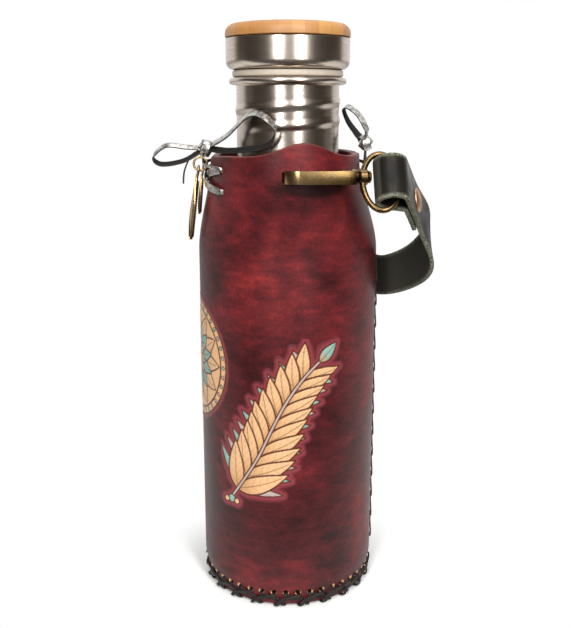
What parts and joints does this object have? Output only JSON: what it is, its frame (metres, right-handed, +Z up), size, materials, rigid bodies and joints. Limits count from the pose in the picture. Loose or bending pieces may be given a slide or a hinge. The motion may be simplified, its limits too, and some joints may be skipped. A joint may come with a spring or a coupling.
{
  "type": "water bottle case",
  "caption": "Laced leather sleeve for a water bottle, with snap hooks carrying a leather hand loop, charms, and the steel bottle with its bamboo-topped screw lid.",
  "frame": {"origin": "centre of the flat underside of the base disc", "axes": "+Z up along the bottle's axis; -Y towards the laced front slit and the charms; +Y towards the back seam and the hand loop; +X towards the near hook"},
  "size_m": [0.1103, 0.1251, 0.2551],
  "materials": {
    "red_leather": "hand-dyed, mottled, semi-gloss",
    "black_leather": "satin with raw edges",
    "lace": "glossy flat lace",
    "brass": "antique",
    "copper": "satin copper",
    "steel": "satin stainless",
    "bamboo": "laminated, oiled",
    "silicone": "matte",
    "plastic": "matte"
  },
  "bodies": {
    "case": {"case_body": "red_leather", "front_flaps": "red_leather", "back_flaps": "red_leather", "base_disc": "red_leather", "base_lace_first": "lace", "base_lace_second": "lace", "back_seam_lace": "lace", "front_lacing": "lace", "back_lacing": "lace", "front_bow_knot": "lace", "back_bow_knot": "lace", "front_bow_near_loop": "lace", "front_bow_far_loop": "lace", "front_bow_tail": "lace", "back_bow_loop": "lace", "near_hook": "brass", "far_hook": "brass", "near_gate_pin": "brass", "far_gate_pin": "brass", "charm_jump_ring": "brass"},
    "bottle": {"bottle": "steel"},
    "seal": {"lid_seal": "silicone"},
    "lid": {"lid_shell": "steel", "lid_plug": "plastic", "lid_bamboo_top": "bamboo"},
    "near_gate": {"near_hook_gate": "brass"},
    "far_gate": {"far_hook_gate": "brass"},
    "near_ring": {"near_swivel_ring": "brass"},
    "far_ring": {"far_swivel_ring": "brass"},
    "handle": {"handle_strap": "black_leather", "near_rivet": "copper", "far_rivet": "copper"},
    "pendant": {"charm_pendant": "brass"},
    "small_charm": {"charm_small": "brass"}
  },
  "joints": [
    {"name": "bottle_lift", "type": "slide", "parent": "case", "child": "bottle", "axis": [0, 0, 1], "range_m": [0, 0.21], "deforming": ["front_flaps", "back_flaps", "front_lacing", "back_lacing", "front_bow_knot", "back_bow_knot", "front_bow_near_loop", "front_bow_far_loop", "front_bow_tail", "back_bow_loop", "charm_jump_ring"]},
    {"name": "lid_lift", "type": "slide", "parent": "bottle", "child": "seal", "axis": [0, 0, 1], "range_m": [0, 0.016]},
    {"name": "lid_turn", "type": "hinge", "parent": "seal", "child": "lid", "pos_m": [0, 0, 0.236], "axis": [0, 0, 1], "range_deg": [0, 720]},
    {"name": "near_gate_turn", "type": "hinge", "parent": "case", "child": "near_gate", "pos_m": [0.0386, 0.0196, 0.1937], "axis": [0, 0, 1], "range_deg": [0, 20], "stiffness_Nm_per_rad": 0.01, "springref_deg": -11.46},
    {"name": "far_gate_turn", "type": "hinge", "parent": "case", "child": "far_gate", "pos_m": [-0.0386, 0.01278, 0.17722], "axis": [0, -0.7071, -0.7071], "range_deg": [0, 20], "stiffness_Nm_per_rad": 0.01, "springref_deg": -11.46},
    {"name": "near_ring_swivel", "type": "hinge", "parent": "case", "child": "near_ring", "pos_m": [0.0425, 0.02645, 0.1937], "axis": [0, 1, 0], "range_deg": [-5, 5]},
    {"name": "far_ring_swivel", "type": "hinge", "parent": "case", "child": "far_ring", "pos_m": [-0.0425, 0.01762, 0.17238], "axis": [0, 0.7071, -0.7071], "range_deg": [-5, 5]},
    {"name": "handle_swing", "type": "hinge", "parent": "case", "child": "handle", "pos_m": [0.0437, 0.0391, 0.1918], "axis": [0.9398, 0.1425, 0.3105], "range_deg": [0, 75], "deforming": ["handle_strap"]},
    {"name": "pendant_swing", "type": "hinge", "parent": "case", "child": "pendant", "pos_m": [0.005, -0.0394, 0.1937], "axis": [0, 0.9925, -0.1219], "range_deg": [-15, 15]},
    {"name": "small_charm_swing", "type": "hinge", "parent": "case", "child": "small_charm", "pos_m": [0.005, -0.0374, 0.1937], "axis": [0, 0.9962, -0.0872], "range_deg": [-15, 15]}
  ],
  "couplings": [
    {"joint": "lid_turn", "follows": "lid_lift", "rad_per_m": 785.39}
  ]
}
